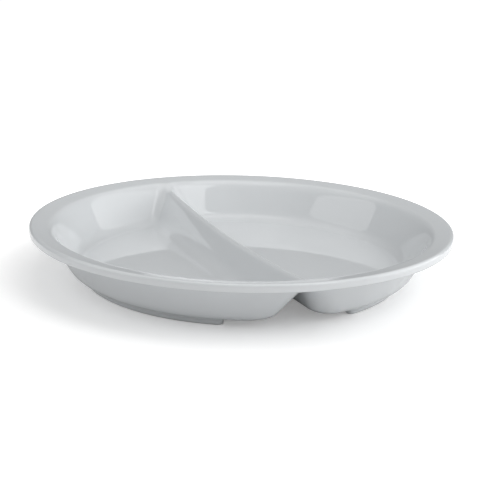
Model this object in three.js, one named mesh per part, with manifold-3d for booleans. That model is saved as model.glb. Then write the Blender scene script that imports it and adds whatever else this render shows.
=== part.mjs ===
// A round plate moulded in one piece: a flat rim with a rounded lip, and two compartments parted by a
// ridge that is hollow underneath. Millimetres, +Z up. The plate stands on Z = 0 about the origin.
// X runs across the divider, from the small compartment at -X to the large one at +X, and Y along it.
import * as THREE from 'three';
import { mergeVertices } from 'three/addons/utils/BufferGeometryUtils.js';
import Module from 'manifold-3d';

// Overall size and rim.
const PLATE_DIAMETER = 250;
const PLATE_HEIGHT = 33;
const RIM_WIDTH = 13;
const RIM_RISE = 2;
const RIM_EDGE_BLEND = 4;
const UNDER_RIM_BLEND = 3;
const LIP_HEIGHT = 4.7;
const LIP_TOP_RADIUS = 1.6;
const LIP_BOTTOM_RADIUS = 0.8;

// Floor and outer wall. Angles are in degrees from the horizontal.
const FLOOR_THICKNESS = 3.65;
const WALL_THICKNESS = 3.4;
const WALL_ANGLE = 60;
const FLOOR_FILLET = 10;
const HEEL_RADIUS = 13;

// Divider: its crest and flanks on the food side, and the groove under it.
const DIVIDER_OFFSET = 8.7;
const CREST_HEIGHT = 15.8;
const CREST_RISE = 4.2;
const CREST_RADIUS = 3;
const CREST_THICKNESS = 4.5;
const FLANK_ANGLE = 60;
const FLANK_FILLET = 12;
const CORNER_BLEND = 13;
const GROOVE_RISE = 3.2;
const GROOVE_ANGLE = 60;
const GROOVE_RADIUS = 2.5;
const GROOVE_EDGE_RADIUS = 9;
const UNDER_CORNER_BLEND = 24;

// Foot arcs.
const FOOT_HEIGHT = 3.55;
const FOOT_WIDTH = 5.7;
const FOOT_OVERHANG = 1.5;
const FOOT_CLEAR_OF_GROOVE = 22;

// How finely the round shapes are faceted.
const SPOKES = 104;
const SPOKE_CROWDING = 0.3;
const FLOOR_RINGS = 14;
const FLOOR_RING_CROWDING = 2;
const FILLET_RINGS = 4;
const WALL_RINGS = 2;
const EDGE_RINGS = 4;
const RIM_RINGS = 2;
const LIP_STEPS = 3;
const FOOT_STEPS = 28;
const FOOT_END_STEPS = 4;

const slopeOf = (degrees) => Math.tan(THREE.MathUtils.degToRad(degrees));
const cosOf = (degrees) => Math.cos(THREE.MathUtils.degToRad(degrees));
const sinOf = (degrees) => Math.sin(THREE.MathUtils.degToRad(degrees));
const tangentLength = (radius, degrees) => radius * slopeOf(degrees / 2);

// Places that follow from the sizes above.
const rimRadius = PLATE_DIAMETER / 2;
const wellRadius = rimRadius - RIM_WIDTH;
const wellEdgeZ = PLATE_HEIGHT - RIM_RISE;
const floorZ = FOOT_HEIGHT + FLOOR_THICKNESS;
const wallSlope = slopeOf(WALL_ANGLE);
const wallFoot = wellRadius - (wellEdgeZ - floorZ) / wallSlope;
const wallOutset = WALL_THICKNESS / cosOf(WALL_ANGLE) - FLOOR_THICKNESS;
const heelStart = wallFoot + wallOutset / wallSlope - tangentLength(HEEL_RADIUS, WALL_ANGLE);
const dividerX = -DIVIDER_OFFSET;
const grooveHeight = CREST_HEIGHT - CREST_THICKNESS + FLOOR_THICKNESS;

// Distance from the divider's centre plane to where a rounded ridge with a filleted foot turns flat.
function ridgeReach(height, crestRadius, degrees, footRadius) {
  const straight = height - crestRadius * (1 - cosOf(degrees));
  return crestRadius * sinOf(degrees) + straight / slopeOf(degrees) + tangentLength(footRadius, degrees);
}

const dividerReach = ridgeReach(CREST_HEIGHT, CREST_RADIUS, FLANK_ANGLE, FLANK_FILLET);
const grooveReach = ridgeReach(grooveHeight, GROOVE_RADIUS, GROOVE_ANGLE, GROOVE_EDGE_RADIUS);
const rimSeatZ = PLATE_HEIGHT - RIM_RISE / 2 - LIP_HEIGHT;

// The greater of two heights, rounded where they are nearly equal, and the first one's share of it.
function blendUp(first, second, softness) {
  const share = THREE.MathUtils.clamp(0.5 + (first - second) / (2 * softness), 0, 1);
  const height = THREE.MathUtils.lerp(second, first, share) + softness * share * (1 - share);
  return { height, share };
}

// The lesser of two heights, rounded in the same way.
function blendDown(first, second, softness) {
  return -blendUp(-first, -second, softness).height;
}

// Height of a straight-sided ridge with a round crest, at a distance from its centre plane.
function ridge(distance, crest, radius, degrees) {
  const roundPart = radius * sinOf(degrees);
  if (distance < roundPart) {
    return crest - radius + Math.sqrt(radius * radius - distance * distance);
  }
  return crest - radius * (1 - cosOf(degrees)) - (distance - roundPart) * slopeOf(degrees);
}

// A rising side joined to a flat floor at height 0 by a circular fillet.
function filleted(side, slope, radius) {
  const angle = Math.atan(slope);
  const tangent = radius * Math.tan(angle / 2);
  const along = side / slope + tangent;
  if (along <= 0) {
    return 0;
  }
  if (side >= tangent * Math.sin(angle)) {
    return side;
  }
  return radius - Math.sqrt(radius * radius - along * along);
}

// Height of the rim's top, which slopes up from the well and runs on into it only as far as the edge's blend.
function rimTop(r) {
  const outward = Math.max(r - wellRadius, -RIM_EDGE_BLEND);
  return wellEdgeZ + (RIM_RISE * outward) / (RIM_WIDTH - LIP_TOP_RADIUS);
}

// How much higher the divider is at a place along it than at its middle, from its rise at the wall.
const climb = (rise, y) => rise * (y / wallFoot) ** 2;

// Height of the food side over a point of the plan.
function foodSide(x, y) {
  const r = Math.hypot(x, y);
  const wall = (r - wallFoot) * wallSlope;
  const crest = CREST_HEIGHT + climb(CREST_RISE, y);
  const divider = ridge(Math.abs(x - dividerX), crest, CREST_RADIUS, FLANK_ANGLE);
  const side = blendUp(wall, divider, CORNER_BLEND);
  const slope = THREE.MathUtils.lerp(slopeOf(FLANK_ANGLE), wallSlope, side.share);
  const radius = THREE.MathUtils.lerp(FLANK_FILLET, FLOOR_FILLET, side.share);
  return blendDown(floorZ + filleted(side.height, slope, radius), rimTop(r), RIM_EDGE_BLEND);
}

// Height of the underside over a point of the plan, without the feet.
function underSide(x, y) {
  const r = Math.hypot(x, y);
  const wall = (r - wallFoot) * wallSlope - wallOutset;
  const crest = grooveHeight + climb(GROOVE_RISE, y);
  const groove = ridge(Math.abs(x - dividerX), crest, GROOVE_RADIUS, GROOVE_ANGLE);
  const side = blendUp(wall, groove, UNDER_CORNER_BLEND);
  const slope = THREE.MathUtils.lerp(slopeOf(GROOVE_ANGLE), wallSlope, side.share);
  const radius = THREE.MathUtils.lerp(GROOVE_EDGE_RADIUS, HEEL_RADIUS, side.share);
  const bowl = FOOT_HEIGHT + filleted(side.height, slope, radius);
  return blendDown(bowl, rimTop(r) - LIP_HEIGHT, UNDER_RIM_BLEND);
}

// Values from one end to the other, without the first end and crowded towards it by the power.
function stepsTo(from, to, count, power = 1) {
  return Array.from({ length: count }, (_, i) => from + (to - from) * ((i + 1) / count) ** power);
}

// Radii of the rings that the two sides are drawn on, closer together where the section bends.
function ringsTo(outerRadius, filletRadius, filletFoot) {
  const filletStart = filletFoot - tangentLength(filletRadius, WALL_ANGLE);
  const filletEnd = filletFoot + tangentLength(filletRadius, WALL_ANGLE) * cosOf(WALL_ANGLE);
  const edgeStart = wellRadius - RIM_EDGE_BLEND / wallSlope;
  const edgeEnd = wellRadius + RIM_EDGE_BLEND / wallSlope;
  return [
    0,
    ...stepsTo(0, filletStart, FLOOR_RINGS, FLOOR_RING_CROWDING),
    ...stepsTo(filletStart, filletEnd, FILLET_RINGS),
    ...stepsTo(filletEnd, edgeStart, WALL_RINGS),
    ...stepsTo(edgeStart, edgeEnd, EDGE_RINGS),
    ...stepsTo(edgeEnd, outerRadius, RIM_RINGS),
  ];
}

// Points of the lip's rounded outer edge, from the rim's underside round to its top.
function lipPoints() {
  const bottomZ = rimTop(rimRadius - LIP_BOTTOM_RADIUS) - LIP_HEIGHT;
  const topZ = rimTop(rimRadius - LIP_TOP_RADIUS);
  const bottom = new THREE.EllipseCurve(
    rimRadius - LIP_BOTTOM_RADIUS, bottomZ + LIP_BOTTOM_RADIUS, LIP_BOTTOM_RADIUS, LIP_BOTTOM_RADIUS,
    -Math.PI / 2, 0);
  const top = new THREE.EllipseCurve(
    rimRadius - LIP_TOP_RADIUS, topZ - LIP_TOP_RADIUS, LIP_TOP_RADIUS, LIP_TOP_RADIUS, 0, Math.PI / 2);
  return [...bottom.getPoints(LIP_STEPS).slice(1), ...top.getPoints(LIP_STEPS).slice(0, -1)];
}

// Plan place of a ring's point. Spokes lean so that one runs along the crest, and crowd beside it.
function spokePoint(radius, angle) {
  const lean = Math.asin(DIVIDER_OFFSET / heelStart);
  const turned = angle + lean * Math.sin(angle) + SPOKE_CROWDING * Math.sin(2 * angle);
  const shift = dividerX * Math.max(0, 1 - radius / heelStart);
  return [shift + radius * Math.cos(turned), radius * Math.sin(turned)];
}

// The whole moulding without its feet: a turned dish with the divider pressed up through it.
function mouldedDish() {
  const foodRings = ringsTo(rimRadius - LIP_TOP_RADIUS, FLOOR_FILLET, wallFoot);
  const underRings = ringsTo(rimRadius - LIP_BOTTOM_RADIUS, HEEL_RADIUS, wallFoot + wallOutset / wallSlope);
  const food = foodRings.map((r) => new THREE.Vector2(r, foodSide(r, 0)));
  const under = underRings.map((r) => new THREE.Vector2(r, underSide(r, 0)));
  const profile = [...under, ...lipPoints(), ...food.reverse()];
  const geometry = new THREE.LatheGeometry(profile, SPOKES);
  geometry.rotateX(Math.PI / 2);
  const place = geometry.getAttribute('position');
  for (let i = 0; i < place.count; i += 1) {
    const along = i % profile.length;
    const angle = Math.floor(i / profile.length) * ((2 * Math.PI) / SPOKES);
    const [x, y] = spokePoint(profile[along].x, angle);
    let z = profile[along].y;
    if (along < under.length) {
      z = underSide(x, y);
    } else if (along >= profile.length - food.length) {
      z = foodSide(x, y);
    }
    place.setXYZ(i, x, y, z);
  }
  return geometry;
}

const wasm = await Module();
wasm.setup();

// A closed geometry as a solid that can be cut.
function solidOf(geometry) {
  const bare = geometry.clone();
  bare.deleteAttribute('normal');
  bare.deleteAttribute('uv');
  const merged = mergeVertices(bare);
  const corners = merged.index.array;
  const kept = [];
  for (let i = 0; i < corners.length; i += 3) {
    const [a, b, c] = corners.slice(i, i + 3);
    if (a !== b && b !== c && c !== a) {
      kept.push(a, b, c);
    }
  }
  const vertProperties = merged.getAttribute('position').array;
  return new wasm.Manifold(new wasm.Mesh({ numProp: 3, vertProperties, triVerts: new Uint32Array(kept) }));
}

// A cut solid as a geometry again.
function geometryOf(solid) {
  const mesh = solid.getMesh();
  const geometry = new THREE.BufferGeometry();
  geometry.setAttribute('position', new THREE.BufferAttribute(mesh.vertProperties, 3));
  geometry.setIndex(new THREE.BufferAttribute(mesh.triVerts, 1));
  return geometry;
}

// A block that covers all of the moulding between two X planes and below a Z plane.
function cutter(xFrom, xTo, zTo) {
  const box = new THREE.BoxGeometry(xTo - xFrom, 2 * PLATE_DIAMETER, 2 * PLATE_HEIGHT);
  box.translate((xFrom + xTo) / 2, 0, zTo - PLATE_HEIGHT);
  return solidOf(box);
}

// The moulding parted into its rim, its two compartments and the divider between them.
function mouldedMembers() {
  const dish = solidOf(mouldedDish());
  const underRim = cutter(-PLATE_DIAMETER, PLATE_DIAMETER, rimSeatZ);
  const smallSide = cutter(-PLATE_DIAMETER, dividerX - dividerReach, 2 * PLATE_HEIGHT);
  const largeSide = cutter(dividerX + dividerReach, PLATE_DIAMETER, 2 * PLATE_HEIGHT);
  const bowl = dish.intersect(underRim);
  return {
    rim: geometryOf(dish.subtract(underRim)),
    small_compartment: geometryOf(bowl.intersect(smallSide)),
    divider: geometryOf(bowl.subtract(smallSide).subtract(largeSide)),
    large_compartment: geometryOf(bowl.intersect(largeSide)),
  };
}

// A foot arc under one compartment, from one side of the groove round to the other, with round ends.
function footArc(side) {
  const outer = heelStart + FOOT_OVERHANG;
  const inner = outer - FOOT_WIDTH;
  const middle = (outer + inner) / 2;
  const endX = dividerX + side * (grooveReach + FOOT_CLEAR_OF_GROOVE);
  const centre = side > 0 ? 0 : Math.PI;
  const half = Math.acos((side * endX) / middle);
  const end = FOOT_WIDTH / 2;
  const arc = (radius, from, to, backwards) =>
    new THREE.EllipseCurve(0, 0, radius, radius, from, to, backwards).getPoints(FOOT_STEPS);
  const cap = (angle, from) =>
    new THREE.EllipseCurve(middle * Math.cos(angle), middle * Math.sin(angle), end, end, from, from + Math.PI)
      .getPoints(FOOT_END_STEPS).slice(1, -1);
  const outline = new THREE.Shape([
    ...arc(outer, centre - half, centre + half, false),
    ...cap(centre + half, centre + half),
    ...arc(inner, centre + half, centre - half, true),
    ...cap(centre - half, centre - half + Math.PI),
  ]);
  return new THREE.ExtrudeGeometry(outline, { depth: FOOT_HEIGHT, bevelEnabled: false });
}

const melamine = () => new THREE.MeshStandardMaterial({ color: 0xdadddf, roughness: 0.1, metalness: 0 });
const pieces = {
  ...mouldedMembers(),
  small_side_foot: footArc(-1),
  large_side_foot: footArc(1),
};

const plate = new THREE.Group();
for (const [name, geometry] of Object.entries(pieces)) {
  const piece = new THREE.Mesh(geometry, melamine());
  piece.name = name;
  plate.add(piece);
}

export default plate;
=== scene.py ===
"""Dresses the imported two-compartment plate: one glossy moulding on two foot arcs, on a plain pale table."""

import math

import bmesh
import bpy
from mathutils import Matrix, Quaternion, Vector


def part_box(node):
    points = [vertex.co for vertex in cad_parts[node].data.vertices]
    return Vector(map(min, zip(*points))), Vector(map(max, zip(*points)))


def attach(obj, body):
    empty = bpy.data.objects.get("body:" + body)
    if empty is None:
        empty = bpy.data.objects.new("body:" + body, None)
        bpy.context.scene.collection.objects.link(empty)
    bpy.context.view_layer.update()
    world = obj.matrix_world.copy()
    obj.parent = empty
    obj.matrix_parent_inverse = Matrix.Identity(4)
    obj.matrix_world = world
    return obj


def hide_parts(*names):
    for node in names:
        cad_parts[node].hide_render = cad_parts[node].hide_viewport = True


bl_info = {
    "name": "Two-compartment plate",
    "version": (1, 0, 0),
    "blender": (4, 5, 0),
    "location": "3D View > Sidebar > Plate",
    "description": "Presses a glossy two-compartment plate around its CAD frame and lights it",
    "category": "Object",
}

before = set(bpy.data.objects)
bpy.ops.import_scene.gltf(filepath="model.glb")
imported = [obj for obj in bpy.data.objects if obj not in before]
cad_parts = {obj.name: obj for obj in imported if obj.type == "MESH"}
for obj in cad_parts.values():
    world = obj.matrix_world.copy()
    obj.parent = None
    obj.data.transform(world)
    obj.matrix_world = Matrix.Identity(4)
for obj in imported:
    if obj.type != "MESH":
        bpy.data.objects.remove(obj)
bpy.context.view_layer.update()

# The moulding's members in the CAD frame: the real plate is one piece, so one mesh stands for all of them.
BODY_NODES = ("rim", "small_compartment", "divider", "large_compartment")
FOOT_NODES = {-1: "small_side_foot", 1: "large_side_foot"}

MM = 0.001

# Points of a mesh that are nearer than this are merged.
WELD = 0.001 * MM


def linear(hex_colour):
    """Turns an sRGB hex colour into linear red, green and blue."""
    shares = [int(hex_colour[i:i + 2], 16) / 255 for i in (1, 3, 5)]
    return [s / 12.92 if s <= 0.04045 else ((s + 0.055) / 1.055) ** 2.4 for s in shares]


def length_prop(name, description, default):
    """A length in metres."""
    return bpy.props.FloatProperty(
        name=name, description=description, default=default, min=0.0, precision=5, unit="LENGTH")


def angle_prop(name, description, degrees):
    """An angle, given here in degrees."""
    return bpy.props.FloatProperty(
        name=name, description=description, default=math.radians(degrees), subtype="ANGLE")


def colour_prop(name, description, hex_colour):
    """A colour, given here as sRGB hex."""
    return bpy.props.FloatVectorProperty(
        name=name, description=description, default=linear(hex_colour), min=0.0, max=1.0, subtype="COLOR")


def number_prop(name, description, default):
    """A plain number."""
    return bpy.props.FloatProperty(name=name, description=description, default=default, min=0.0)


RIM_LOW, RIM_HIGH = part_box("rim")
DIVIDER_LOW, DIVIDER_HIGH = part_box("divider")
FOOT_LOW, FOOT_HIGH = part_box("small_side_foot")


class PlateSizes(bpy.types.PropertyGroup):
    """The plate's sizes, as in its CAD frame."""

    diameter: length_prop("Diameter", "Across the rim", RIM_HIGH.x - RIM_LOW.x)
    height: length_prop("Height", "From the table to the top of the lip", RIM_HIGH.z)
    rim_width: length_prop("Rim width", "From the edge of the well to the lip", 13 * MM)
    rim_rise: length_prop("Rim rise", "How much higher the rim is at the lip than at the well", 2 * MM)
    rim_edge_blend: length_prop("Rim edge blend", "Softness of the edge between wall and rim", 4 * MM)
    under_rim_blend: length_prop("Under-rim blend", "Softness of the corner under the rim", 3 * MM)
    lip_height: length_prop("Lip height", "Thickness of the rim at the lip", 4.7 * MM)
    lip_top_radius: length_prop("Lip top radius", "Rounding of the lip's upper edge", 1.6 * MM)
    lip_bottom_radius: length_prop("Lip bottom radius", "Rounding of the lip's lower edge", 0.8 * MM)
    floor_thickness: length_prop("Floor thickness", "Thickness of the compartments' floor", 3.65 * MM)
    wall_thickness: length_prop("Wall thickness", "Thickness of the outer wall", 3.4 * MM)
    wall_angle: angle_prop("Wall angle", "Slope of the outer wall", 60)
    floor_fillet: length_prop("Floor fillet", "Radius between floor and outer wall", 10 * MM)
    heel_radius: length_prop("Heel radius", "Radius between base and outer wall, underneath", 13 * MM)
    divider_x: bpy.props.FloatProperty(
        name="Divider place", description="Where the divider's middle plane cuts the X axis",
        default=(DIVIDER_LOW.x + DIVIDER_HIGH.x) / 2, precision=5, unit="LENGTH")
    crest_height: length_prop("Crest height", "Divider's height over the floor, at its middle", 15.8 * MM)
    crest_rise: length_prop("Crest rise", "How much the crest climbs towards the wall", 4.2 * MM)
    crest_radius: length_prop("Crest radius", "Rounding of the divider's top", 3 * MM)
    crest_thickness: length_prop("Crest thickness", "Thickness of the divider at its top", 4.5 * MM)
    flank_angle: angle_prop("Flank angle", "Slope of the divider's sides", 60)
    flank_fillet: length_prop("Flank fillet", "Radius between the divider's side and the floor", 12 * MM)
    corner_blend: length_prop("Corner blend", "Softness of the corner of divider and wall", 13 * MM)
    groove_rise: length_prop("Groove rise", "How much the groove's top climbs towards the wall", 3.2 * MM)
    groove_angle: angle_prop("Groove angle", "Slope of the groove's sides, underneath", 60)
    groove_radius: length_prop("Groove radius", "Rounding of the groove's top", 2.5 * MM)
    groove_edge_radius: length_prop("Groove edge radius", "Radius between groove and base", 9 * MM)
    under_corner_blend: length_prop(
        "Under-corner blend", "Softness of the groove's mouth in the wall", 24 * MM)
    foot_height: length_prop("Foot height", "Height of the foot arcs", FOOT_HIGH.z)
    foot_outer: length_prop("Foot radius", "Radius of the foot arcs' outer side", -FOOT_LOW.x)
    foot_width: length_prop("Foot width", "Width of a foot arc", 5.7 * MM)
    foot_edge_radius: length_prop("Foot edge radius", "Rounding of a foot's lower edges", 0.9 * MM)
    foot_root_radius: length_prop("Foot root radius", "Fillet between a foot and the base", 1.8 * MM)
    foot_root_depth: length_prop("Foot root depth", "How far a foot is rooted in the base", 0.5 * MM)
    foot_from_divider: length_prop("Foot end", "From the divider's middle to a foot's end", 37.25 * MM)


class PlateFinish(bpy.types.PropertyGroup):
    """The plate's colours and gloss."""

    body: colour_prop("Melamine", "Main colour of the moulding", "#DADDDF")
    cloud: colour_prop("Melamine cloud", "Slightly darker tone that clouds the moulding", "#D5D8DA")
    scuffed: colour_prop("Scuffed melamine", "Colour of the feet where they rub on the table", "#C9CBCB")
    roughness: number_prop("Roughness", "Roughness of the polished moulding", 0.035)
    scuffed_roughness: number_prop("Scuffed roughness", "Roughness where the feet rub", 0.5)


class PlateStage(bpy.types.PropertyGroup):
    """The table, the light and the camera."""

    table: colour_prop("Table", "Colour of the table", "#F4F4F4")
    surround: colour_prop("Surround", "Colour of the dim room that the gloss mirrors", "#6A6C6E")
    sky: number_prop("Sky", "Strength of the light from all round", 0.49)
    key: number_prop("Key", "Power of the softbox in front on the right, in watts", 2.5)
    side: number_prop("Side", "Power of the wide softbox on the right, in watts", 3.4)
    low: number_prop("Low", "Power of the strip light low on the right, in watts", 1.3)
    overhead: number_prop("Overhead", "Power of the softbox over the plate, in watts", 1.7)
    fill: number_prop("Fill", "Power of the softbox on the left, in watts", 2.6)
    lens: number_prop("Lens", "Focal length of the camera in millimetres", 81.17)


class Mould:
    """The two halves of the mould: heights of the plate's food side and underside over its plan."""

    def __init__(self, sizes):
        self.sizes = sizes
        self.rim_radius = sizes.diameter / 2
        self.well_radius = self.rim_radius - sizes.rim_width
        self.well_edge_z = sizes.height - sizes.rim_rise
        self.floor_z = sizes.foot_height + sizes.floor_thickness
        self.wall_slope = math.tan(sizes.wall_angle)
        self.wall_foot = self.well_radius - (self.well_edge_z - self.floor_z) / self.wall_slope
        self.wall_outset = sizes.wall_thickness / math.cos(sizes.wall_angle) - sizes.floor_thickness
        self.heel_foot = self.wall_foot + self.wall_outset / self.wall_slope
        self.heel_start = self.heel_foot - sizes.heel_radius * math.tan(sizes.wall_angle / 2)
        self.groove_height = sizes.crest_height + sizes.floor_thickness - sizes.crest_thickness

    @staticmethod
    def blend_up(first, second, softness):
        """The higher of two heights with a soft change between them, and the first one's share."""
        share = min(max(0.5 + (first - second) / (2 * softness), 0.0), 1.0)
        return second + (first - second) * share + softness * share * (1 - share), share

    def blend_down(self, first, second, softness):
        """The lower of two heights with a soft change between them."""
        return -self.blend_up(-first, -second, softness)[0]

    @staticmethod
    def ridge(distance, crest, radius, angle):
        """Height of a straight-sided ridge with a round crest, at a distance from its middle plane."""
        round_part = radius * math.sin(angle)
        if distance < round_part:
            return crest - radius + math.sqrt(radius * radius - distance * distance)
        return crest - radius * (1 - math.cos(angle)) - (distance - round_part) * math.tan(angle)

    @staticmethod
    def filleted(side, slope, radius):
        """A rising side joined to a flat floor at height 0 by a circular fillet."""
        angle = math.atan(slope)
        tangent = radius * math.tan(angle / 2)
        along = side / slope + tangent
        if along <= 0:
            return 0.0
        if side >= tangent * math.sin(angle):
            return side
        return radius - math.sqrt(radius * radius - along * along)

    def rim_top(self, r):
        """Height of the rim's top, which runs on into the well only as far as the edge's blend."""
        outward = max(r - self.well_radius, -self.sizes.rim_edge_blend)
        return self.well_edge_z + self.sizes.rim_rise * outward / (
            self.sizes.rim_width - self.sizes.lip_top_radius)

    def climb(self, rise, y):
        """How much higher the divider is at a place along it than at its middle."""
        return rise * (y / self.wall_foot) ** 2

    def food_side(self, x, y):
        """Height of the food side."""
        s = self.sizes
        r = math.hypot(x, y)
        wall = (r - self.wall_foot) * self.wall_slope
        crest = s.crest_height + self.climb(s.crest_rise, y)
        divider = self.ridge(abs(x - s.divider_x), crest, s.crest_radius, s.flank_angle)
        side, share = self.blend_up(wall, divider, s.corner_blend)
        flank_slope = math.tan(s.flank_angle)
        slope = flank_slope + (self.wall_slope - flank_slope) * share
        radius = s.flank_fillet + (s.floor_fillet - s.flank_fillet) * share
        bowl = self.floor_z + self.filleted(side, slope, radius)
        return self.blend_down(bowl, self.rim_top(r), s.rim_edge_blend)

    def under_side(self, x, y):
        """Height of the underside, without the feet."""
        s = self.sizes
        r = math.hypot(x, y)
        wall = (r - self.wall_foot) * self.wall_slope - self.wall_outset
        crest = self.groove_height + self.climb(s.groove_rise, y)
        groove = self.ridge(abs(x - s.divider_x), crest, s.groove_radius, s.groove_angle)
        side, share = self.blend_up(wall, groove, s.under_corner_blend)
        groove_slope = math.tan(s.groove_angle)
        slope = groove_slope + (self.wall_slope - groove_slope) * share
        radius = s.groove_edge_radius + (s.heel_radius - s.groove_edge_radius) * share
        bowl = s.foot_height + self.filleted(side, slope, radius)
        return self.blend_down(bowl, self.rim_top(r) - s.lip_height, s.under_rim_blend)


# Spokes of the turned blank, how far they crowd beside the divider, how far its closest rings reach from
# the centre, rings along each stretch of its two sides, and steps round the lip's edges and up its side.
SPOKES = 336
SPOKE_CROWDING = 0.3
CENTRE_REACH = 30 * MM
FOOD_RINGS = {"centre": 50, "floor": 38, "fillet": 14, "wall": 8, "edge": 10, "rim": 8}
UNDER_RINGS = {"centre": 32, "floor": 28, "fillet": 14, "wall": 6, "edge": 6, "rim": 4}
LIP_STEPS = 5
LIP_SIDE_STEPS = 2


def chain(bm, start, stops):
    """Extrudes a vertex to each (place, count) in turn, in that many even steps, and returns the last."""
    for place, count in stops:
        step = (Vector(place) - start.co) / count
        for _ in range(count):
            drawn = bmesh.ops.extrude_vert_indiv(bm, verts=[start])["verts"]
            bmesh.ops.translate(bm, verts=drawn, vec=step)
            start = drawn[0]
    return start


def arc(bm, start, centre, angle, steps):
    """Turns a vertex about a centre in the XZ plane, drawing its edges, and returns the last vertex."""
    turned = bmesh.ops.spin(
        bm, geom=[start], cent=centre, axis=(0, 1, 0), angle=angle, steps=steps)["geom_last"]
    return next(part for part in turned if isinstance(part, bmesh.types.BMVert))


def side_stops(mould, rings, height, outer, fillet, foot):
    """Stops of one side of the blank, closer together where the pressed section bends."""
    reach = fillet * math.tan(mould.sizes.wall_angle / 2)
    blend = mould.sizes.rim_edge_blend / mould.wall_slope
    radii = {
        "centre": CENTRE_REACH,
        "floor": foot - reach,
        "fillet": foot + reach * math.cos(mould.sizes.wall_angle),
        "wall": mould.well_radius - blend,
        "edge": mould.well_radius + blend,
        "rim": outer,
    }
    return [((radius, 0, height), rings[name]) for name, radius in radii.items()]


def blank_section(bm, mould):
    """Half the section of the blank: a flat base, the lip's rounded edge and a flat top."""
    s = mould.sizes
    base_edge = mould.rim_radius - s.lip_bottom_radius
    top_edge = mould.rim_radius - s.lip_top_radius
    lip_bottom_z = mould.rim_top(base_edge) - s.lip_height
    base = bm.verts.new((0, 0, 0))
    stops = side_stops(mould, UNDER_RINGS, 0, base_edge, s.heel_radius, mould.heel_foot)
    last = chain(bm, base, stops[:-1] + [((base_edge, 0, lip_bottom_z), UNDER_RINGS["rim"])])
    last = arc(bm, last, (base_edge, 0, lip_bottom_z + s.lip_bottom_radius), -math.pi / 2, LIP_STEPS)
    last = chain(bm, last, [((mould.rim_radius, 0, s.height - s.lip_top_radius), LIP_SIDE_STEPS)])
    last = arc(bm, last, (top_edge, 0, s.height - s.lip_top_radius), -math.pi / 2, LIP_STEPS)
    stops = side_stops(mould, FOOD_RINGS, s.height, top_edge, s.floor_fillet, mould.wall_foot)
    counts = [count for _, count in reversed(stops)]
    places = [place for place, _ in reversed(stops[:-1])] + [(0, 0, s.height)]
    chain(bm, last, list(zip(places, counts)))


def spoke_point(mould, radius, angle):
    """Plan place of a ring's point: one spoke runs along the crest, and the others crowd beside it."""
    lean = math.asin(-mould.sizes.divider_x / mould.heel_start)
    turned = angle + lean * math.sin(angle) + SPOKE_CROWDING * math.sin(2 * angle)
    shift = mould.sizes.divider_x * max(0.0, 1 - radius / mould.heel_start)
    return shift + radius * math.cos(turned), radius * math.sin(turned)


def press(bm, mould):
    """Closes the mould on the turned blank."""
    s = mould.sizes
    for vert in bm.verts:
        radius = math.hypot(vert.co.x, vert.co.y)
        x, y = spoke_point(mould, radius, math.atan2(vert.co.y, vert.co.x))
        z = vert.co.z
        if radius < mould.rim_radius - s.lip_bottom_radius / 2 and z < s.height - s.lip_top_radius:
            z = mould.under_side(x, y)
        elif radius < mould.rim_radius - s.lip_top_radius:
            z = mould.food_side(x, y)
        vert.co = (x, y, z)


def finish_piece(bm, name, material, nodes):
    """Makes a bmesh a smooth, outward-facing piece that rides on the plate and stands for CAD nodes."""
    bmesh.ops.remove_doubles(bm, verts=bm.verts, dist=WELD)
    bmesh.ops.recalc_face_normals(bm, faces=bm.faces)
    for face in bm.faces:
        face.smooth = True
    mesh = bpy.data.meshes.new(name)
    bm.to_mesh(mesh)
    bm.free()
    mesh.materials.append(material)
    piece = bpy.data.objects.new(name, mesh)
    bpy.context.scene.collection.objects.link(piece)
    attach(piece, "root")
    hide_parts(*nodes)


def add_node(tree, kind, settings=None, **inputs):
    """Adds a node, sets its settings, and gives each input a value or a link from a socket. An input
    goes by its name, or by the letter i and its number where names repeat."""
    node = tree.nodes.new(kind)
    for name, value in (settings or {}).items():
        setattr(node, name, value)
    for name, value in inputs.items():
        socket = node.inputs[int(name[1:])] if name[1:].isdigit() else node.inputs[name.replace("_", " ")]
        if isinstance(value, bpy.types.NodeSocket):
            tree.links.new(value, socket)
        else:
            socket.default_value = value
    return node


MELAMINE_IOR = 1.55

# Between these lie most values of a noise.
NOISE_LOW = 0.3
NOISE_HIGH = 0.7

# The moulded skin's patterns: their sizes, and the shares of the roughness that the haze runs between.
CLOUD_SIZE = 35 * MM
HAZE_SIZE = 12 * MM
HAZE_LEAST = 0.8
HAZE_MOST = 1.3
RIPPLE_SIZE = 6 * MM
RIPPLE_DEPTH = 0.004 * MM

# The feet's wear, in shares of their height: how uneven its edge is, where it is full and where it ends.
RUB_SIZE = 3 * MM
RUB_UNEVENNESS = 0.5
RUB_FULL = -0.2
RUB_END = 0.1

# Real scratches are about 0.1 mm wide: these are drawn coarser, so that they show.
SCRATCH_SIZE = 0.8 * MM
SCRATCH_DEPTH = 0.02 * MM
SCRATCH_STRENGTH = 0.4


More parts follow.
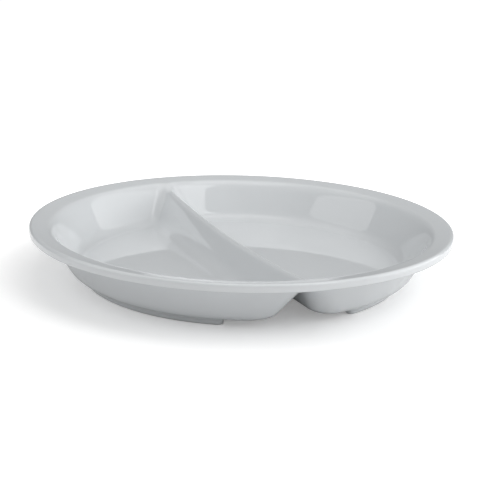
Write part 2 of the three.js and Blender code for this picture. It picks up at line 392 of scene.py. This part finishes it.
def glossy_melamine(finish):
    """Compression-moulded melamine from a polished mould: an even white with a faint cloudiness of the
    powder, a hard gloss that softens a little in patches, and the slow ripple of the moulded skin."""
    material = bpy.data.materials.new("glossy moulded melamine")
    material.use_nodes = True
    tree = material.node_tree
    tree.nodes.clear()
    place = add_node(tree, "ShaderNodeTexCoord").outputs["Object"]
    cloud = add_node(
        tree, "ShaderNodeTexNoise", Vector=place, Scale=1 / CLOUD_SIZE, Detail=3.0, Roughness=0.55)
    colour = add_node(
        tree, "ShaderNodeMix", {"data_type": "RGBA"},
        i0=cloud.outputs["Fac"], i6=(*finish.body, 1), i7=(*finish.cloud, 1))
    haze = add_node(
        tree, "ShaderNodeTexNoise", Vector=place, Scale=1 / HAZE_SIZE, Detail=4.0, Roughness=0.6)
    roughness = add_node(
        tree, "ShaderNodeMapRange", Value=haze.outputs["Fac"],
        i1=NOISE_LOW, i2=NOISE_HIGH, i3=finish.roughness * HAZE_LEAST, i4=finish.roughness * HAZE_MOST)
    ripple = add_node(
        tree, "ShaderNodeTexNoise", Vector=place, Scale=1 / RIPPLE_SIZE, Detail=1.0, Roughness=0.4)
    skin = add_node(
        tree, "ShaderNodeBump", Strength=1.0, Distance=RIPPLE_DEPTH, Height=ripple.outputs["Fac"])
    shader = add_node(
        tree, "ShaderNodeBsdfPrincipled", Base_Color=colour.outputs["Result"],
        Roughness=roughness.outputs["Result"], IOR=MELAMINE_IOR, Normal=skin.outputs["Normal"])
    add_node(tree, "ShaderNodeOutputMaterial", Surface=shader.outputs["BSDF"])
    return material


def scuffed_melamine(finish, foot_height):
    """The same melamine on the feet, whose standing face has lost its gloss to years of sliding on
    tables and is dull, slightly darker and finely scratched, with an uneven edge."""
    material = bpy.data.materials.new("scuffed moulded melamine")
    material.use_nodes = True
    tree = material.node_tree
    tree.nodes.clear()
    place = add_node(tree, "ShaderNodeTexCoord").outputs["Object"]
    height = add_node(tree, "ShaderNodeSeparateXYZ", Vector=place).outputs["Z"]
    rub = add_node(
        tree, "ShaderNodeTexNoise", Vector=place, Scale=1 / RUB_SIZE, Detail=5.0, Roughness=0.65)
    edge = add_node(
        tree, "ShaderNodeMath", {"operation": "MULTIPLY_ADD"},
        i0=rub.outputs["Fac"], i1=-RUB_UNEVENNESS * foot_height, i2=height)
    worn = add_node(
        tree, "ShaderNodeMapRange", Value=edge.outputs["Value"],
        i1=RUB_FULL * foot_height, i2=RUB_END * foot_height, i3=1.0, i4=0.0)
    colour = add_node(
        tree, "ShaderNodeMix", {"data_type": "RGBA"},
        i0=worn.outputs["Result"], i6=(*finish.body, 1), i7=(*finish.scuffed, 1))
    roughness = add_node(
        tree, "ShaderNodeMix", {"data_type": "FLOAT"},
        i0=worn.outputs["Result"], i2=finish.roughness, i3=finish.scuffed_roughness)
    scratch = add_node(
        tree, "ShaderNodeTexNoise", Vector=place, Scale=1 / SCRATCH_SIZE, Detail=4.0, Roughness=0.7)
    skin = add_node(
        tree, "ShaderNodeBump",
        Strength=SCRATCH_STRENGTH, Distance=SCRATCH_DEPTH, Height=scratch.outputs["Fac"])
    shader = add_node(
        tree, "ShaderNodeBsdfPrincipled", Base_Color=colour.outputs["Result"],
        Roughness=roughness.outputs["Result"], IOR=MELAMINE_IOR, Normal=skin.outputs["Normal"])
    add_node(tree, "ShaderNodeOutputMaterial", Surface=shader.outputs["BSDF"])
    return material


class PLATE_OT_moulding(bpy.types.Operator):
    """Press the plate's body: rim, two compartments and the divider between them"""

    bl_idname = "plate.moulding"
    bl_label = "Moulding"

    def execute(self, context):
        mould = Mould(context.scene.plate_sizes)
        bm = bmesh.new()
        blank_section(bm, mould)
        bmesh.ops.spin(
            bm, geom=bm.verts[:] + bm.edges[:], cent=(0, 0, 0), axis=(0, 0, 1),
            angle=2 * math.pi, steps=SPOKES, use_merge=True)
        bmesh.ops.remove_doubles(bm, verts=bm.verts, dist=WELD)
        press(bm, mould)
        finish_piece(bm, "moulding", glossy_melamine(context.scene.plate_finish), BODY_NODES)
        return {"FINISHED"}


# Steps along a foot, round each of its ends and round the corners of its section.
FOOT_ARC_STEPS = 96
FOOT_END_STEPS = 12
FOOT_CORNER_STEPS = 4


def foot_section(bm, sizes, middle):
    """Half the section of a foot, from its middle line under its standing face and up its outer side."""
    half = sizes.foot_width / 2
    edge = sizes.foot_edge_radius
    root = sizes.foot_root_radius
    top = sizes.foot_height + sizes.foot_root_depth
    start = bm.verts.new((middle, 0, 0))
    last = chain(bm, start, [((middle + half - edge, 0, 0), 1)])
    last = arc(bm, last, (middle + half - edge, 0, edge), -math.pi / 2, FOOT_CORNER_STEPS)
    last = chain(bm, last, [((middle + half, 0, sizes.foot_height - root), 1)])
    last = arc(bm, last, (middle + half + root, 0, sizes.foot_height - root), math.pi / 2, FOOT_CORNER_STEPS)
    chain(bm, last, [((middle + half + root, 0, top), 1), ((middle, 0, top), 1)])


def foot_arc(mould, side):
    """A foot arc under one compartment, with round ends, its top shaped to the base that carries it."""
    s = mould.sizes
    middle = s.foot_outer - s.foot_width / 2
    end_x = s.divider_x + side * s.foot_from_divider
    half_turn = math.acos(side * end_x / middle)
    centre = 0 if side > 0 else math.pi
    bm = bmesh.new()
    foot_section(bm, s, middle)
    bmesh.ops.rotate(
        bm, verts=bm.verts, cent=(0, 0, 0),
        matrix=Quaternion((0, 0, 1), centre - half_turn).to_matrix())
    first_end = (middle * math.cos(centre - half_turn), middle * math.sin(centre - half_turn), 0)
    last_end = (middle * math.cos(centre + half_turn), middle * math.sin(centre + half_turn), 0)
    outer = bm.verts[:] + bm.edges[:]
    inner = bmesh.ops.spin(
        bm, geom=outer, cent=first_end, axis=(0, 0, 1),
        angle=-math.pi, steps=FOOT_END_STEPS)["geom_last"]
    bmesh.ops.spin(
        bm, geom=inner, cent=(0, 0, 0), axis=(0, 0, 1),
        angle=2 * half_turn, steps=FOOT_ARC_STEPS)
    far = bmesh.ops.spin(
        bm, geom=outer, cent=(0, 0, 0), axis=(0, 0, 1),
        angle=2 * half_turn, steps=FOOT_ARC_STEPS)["geom_last"]
    bmesh.ops.spin(
        bm, geom=far, cent=last_end, axis=(0, 0, 1),
        angle=math.pi, steps=FOOT_END_STEPS)
    for vert in bm.verts:
        rise = mould.under_side(vert.co.x, vert.co.y) - s.foot_height
        vert.co.z += rise * vert.co.z / s.foot_height
    return bm


class PLATE_OT_feet(bpy.types.Operator):
    """Add the two foot arcs that the plate stands on"""

    bl_idname = "plate.feet"
    bl_label = "Foot arcs"

    def execute(self, context):
        sizes = context.scene.plate_sizes
        mould = Mould(sizes)
        material = scuffed_melamine(context.scene.plate_finish, sizes.foot_height)
        for side, node in FOOT_NODES.items():
            finish_piece(foot_arc(mould, side), node + "_arc", material, [node])
        return {"FINISHED"}


# The camera's place, the point it looks at and its slight roll, from the plate's edges in the photograph.
CAMERA_PLACE = Vector((-247.5, -574.7, 197.1)) * MM
CAMERA_AIM = Vector((-0.7, 0.3, 20.3)) * MM
CAMERA_ROLL = math.radians(1.456)
CAMERA_NEAREST = 0.01

# Bounces of mirrored light: the round wall, where it is seen edge on, mirrors itself many times over.
MIRRORINGS = 12

# The table, in metres: how far from its middle the plate's shadow is kept and over what length it fades,
# and how much the table glows, which lightens the shadow and makes the rest of it white.
TABLE_RADIUS = 8.0
SHADOW_REACH = 0.12
SHADOW_FADE = 0.08
SHADOW_GLOW = 0.25
TABLE_GLOW = 0.35

# The walls round the set, in metres: they are dim up to one height and brighten from there to their top.
SURROUND_RADIUS = 2.0
SURROUND_DIM_TO = 1.1
SURROUND_HIGH = 2.8

# Sides of the round table and of the walls.
ROUND_SEGMENTS = 96


def around(azimuth, elevation, distance):
    """A place round the plate: azimuth 0 is in front of it, at -Y, and grows towards +X."""
    turn, lift = math.radians(azimuth), math.radians(elevation)
    level = math.cos(lift)
    return distance * Vector((math.sin(turn) * level, -math.cos(turn) * level, math.sin(lift)))


def softbox(name, power, azimuth, elevation, distance, width, height):
    """A rectangular soft light that faces the plate."""
    lamp = bpy.data.lights.new(name, "AREA")
    lamp.shape = "RECTANGLE"
    lamp.size = width
    lamp.size_y = height
    lamp.energy = power
    holder = bpy.data.objects.new(name, lamp)
    holder.location = around(azimuth, elevation, distance)
    holder.rotation_euler = (-holder.location).to_track_quat("-Z", "Y").to_euler()
    bpy.context.scene.collection.objects.link(holder)


def seen_rays(tree):
    """1 for the rays that see the background: from the camera, by mirroring or through glass."""
    path = add_node(tree, "ShaderNodeLightPath")
    either = add_node(
        tree, "ShaderNodeMath", {"operation": "MAXIMUM"},
        i0=path.outputs["Is Camera Ray"], i1=path.outputs["Is Glossy Ray"])
    return add_node(
        tree, "ShaderNodeMath", {"operation": "MAXIMUM"},
        i0=either.outputs["Value"], i1=path.outputs["Is Transmission Ray"]).outputs["Value"]


def table_finish(stage):
    """Matt white table top: it keeps the plate's shadow, lightened, and is white to the eye away from it."""
    material = bpy.data.materials.new("matt white table")
    material.use_nodes = True
    tree = material.node_tree
    tree.nodes.clear()
    place = add_node(tree, "ShaderNodeTexCoord").outputs["Object"]
    away = add_node(tree, "ShaderNodeVectorMath", {"operation": "LENGTH"}, Vector=place).outputs["Value"]
    glow = add_node(
        tree, "ShaderNodeMapRange", {"interpolation_type": "SMOOTHSTEP"}, Value=away,
        i1=SHADOW_REACH, i2=SHADOW_REACH + SHADOW_FADE, i3=0.0, i4=TABLE_GLOW)
    camera = add_node(tree, "ShaderNodeLightPath").outputs["Is Camera Ray"]
    lifted = add_node(tree, "ShaderNodeMath", {"operation": "MULTIPLY"}, i0=camera, i1=SHADOW_GLOW)
    shown = add_node(
        tree, "ShaderNodeMath", {"operation": "MULTIPLY_ADD"},
        i0=glow.outputs["Result"], i1=seen_rays(tree), i2=lifted.outputs["Value"]).outputs["Value"]
    paint = add_node(tree, "ShaderNodeBsdfDiffuse", Color=(*stage.table, 1))
    white = add_node(tree, "ShaderNodeEmission", Color=(1, 1, 1, 1), Strength=shown)
    both = add_node(tree, "ShaderNodeAddShader", i0=paint.outputs["BSDF"], i1=white.outputs["Emission"])
    add_node(tree, "ShaderNodeOutputMaterial", Surface=both.outputs["Shader"])
    return material


def surround_finish(stage):
    """Unlit studio walls that brighten upwards, towards a white ceiling."""
    material = bpy.data.materials.new("dim studio wall")
    material.use_nodes = True
    tree = material.node_tree
    tree.nodes.clear()
    place = add_node(tree, "ShaderNodeTexCoord").outputs["Object"]
    height = add_node(tree, "ShaderNodeSeparateXYZ", Vector=place).outputs["Z"]
    lift = add_node(
        tree, "ShaderNodeMapRange", {"interpolation_type": "SMOOTHSTEP"}, Value=height,
        i1=SURROUND_DIM_TO, i2=SURROUND_HIGH, i3=0.0, i4=1.0)
    tone = add_node(
        tree, "ShaderNodeMix", {"data_type": "RGBA"},
        i0=lift.outputs["Result"], i6=(*stage.surround, 1), i7=(1, 1, 1, 1))
    wall = add_node(tree, "ShaderNodeEmission", Color=tone.outputs["Result"], Strength=1.0)
    add_node(tree, "ShaderNodeOutputMaterial", Surface=wall.outputs["Emission"])
    return material


def stage_piece(bm, name, material):
    """Makes a bmesh a piece of the stage."""
    mesh = bpy.data.meshes.new(name)
    bm.to_mesh(mesh)
    bm.free()
    mesh.materials.append(material)
    piece = bpy.data.objects.new(name, mesh)
    bpy.context.scene.collection.objects.link(piece)
    return piece


def add_table(stage):
    """A wide table under the plate."""
    bm = bmesh.new()
    bmesh.ops.create_circle(bm, cap_ends=True, segments=ROUND_SEGMENTS, radius=TABLE_RADIUS)
    stage_piece(bm, "table", table_finish(stage))


def add_surround(stage):
    """A dim band round the set that only the plate's gloss mirrors, as it would a studio's unlit walls."""
    bm = bmesh.new()
    bmesh.ops.create_circle(bm, segments=ROUND_SEGMENTS, radius=SURROUND_RADIUS)
    raised = bmesh.ops.extrude_edge_only(bm, edges=bm.edges[:])["geom"]
    bmesh.ops.translate(
        bm, verts=[part for part in raised if isinstance(part, bmesh.types.BMVert)],
        vec=(0, 0, SURROUND_HIGH))
    band = stage_piece(bm, "surround", surround_finish(stage))
    band.visible_camera = False
    band.visible_diffuse = False
    band.visible_shadow = False


def add_sky(stage):
    """Even light from all round, white where it is seen."""
    world = bpy.data.worlds.new("studio")
    world.use_nodes = True
    tree = world.node_tree
    tree.nodes.clear()
    strength = add_node(
        tree, "ShaderNodeMix", {"data_type": "FLOAT"}, i0=seen_rays(tree), i2=stage.sky, i3=1.0)
    sky = add_node(tree, "ShaderNodeBackground", Color=(1, 1, 1, 1), Strength=strength.outputs["Result"])
    add_node(tree, "ShaderNodeOutputWorld", Surface=sky.outputs["Background"])
    bpy.context.scene.world = world


def add_camera(stage):
    """The camera at the photograph's place."""
    lens = bpy.data.cameras.new("camera")
    lens.lens = stage.lens
    lens.clip_start = CAMERA_NEAREST
    holder = bpy.data.objects.new("camera", lens)
    holder.location = CAMERA_PLACE
    turn = (CAMERA_AIM - CAMERA_PLACE).to_track_quat("-Z", "Y") @ Quaternion((0, 0, 1), CAMERA_ROLL)
    holder.rotation_euler = turn.to_euler()
    bpy.context.scene.collection.objects.link(holder)
    bpy.context.scene.camera = holder


class PLATE_OT_stage(bpy.types.Operator):
    """Add the table, the studio light and the camera"""

    bl_idname = "plate.stage"
    bl_label = "Stage"

    def execute(self, context):
        stage = context.scene.plate_stage
        add_table(stage)
        add_surround(stage)
        add_sky(stage)
        softbox(
            "key softbox", stage.key,
            azimuth=28, elevation=46, distance=1.1, width=0.46, height=0.8)
        softbox(
            "side softbox", stage.side,
            azimuth=74, elevation=26, distance=1.0, width=1.0, height=0.8)
        softbox(
            "low strip light", stage.low,
            azimuth=70, elevation=12, distance=1.0, width=0.9, height=0.3)
        softbox(
            "overhead softbox", stage.overhead,
            azimuth=0, elevation=88, distance=1.3, width=0.7, height=0.7)
        softbox(
            "fill softbox", stage.fill,
            azimuth=-107, elevation=33, distance=1.3, width=1.1, height=0.6)
        add_camera(stage)
        context.scene.view_settings.view_transform = "Standard"
        context.scene.cycles.glossy_bounces = MIRRORINGS
        return {"FINISHED"}


class PLATE_PT_sidebar(bpy.types.Panel):
    """The plate's pieces, sizes, finish and stage"""

    bl_label = "Two-compartment plate"
    bl_space_type = "VIEW_3D"
    bl_region_type = "UI"
    bl_category = "Plate"

    def draw(self, context):
        for operator in (PLATE_OT_moulding, PLATE_OT_feet, PLATE_OT_stage):
            self.layout.operator(operator.bl_idname)
        for group in (context.scene.plate_sizes, context.scene.plate_finish, context.scene.plate_stage):
            box = self.layout.box()
            for name in group.__annotations__:
                box.prop(group, name)


CLASSES = (
    PlateSizes, PlateFinish, PlateStage, PLATE_OT_moulding, PLATE_OT_feet, PLATE_OT_stage, PLATE_PT_sidebar)


def register():
    for cls in CLASSES:
        bpy.utils.register_class(cls)
    bpy.types.Scene.plate_sizes = bpy.props.PointerProperty(type=PlateSizes)
    bpy.types.Scene.plate_finish = bpy.props.PointerProperty(type=PlateFinish)
    bpy.types.Scene.plate_stage = bpy.props.PointerProperty(type=PlateStage)


def unregister():
    del bpy.types.Scene.plate_stage
    del bpy.types.Scene.plate_finish
    del bpy.types.Scene.plate_sizes
    for cls in reversed(CLASSES):
        bpy.utils.unregister_class(cls)


def main():
    register()
    bpy.ops.plate.moulding()
    bpy.ops.plate.feet()
    bpy.ops.plate.stage()


if __name__ == "__main__":
    main()
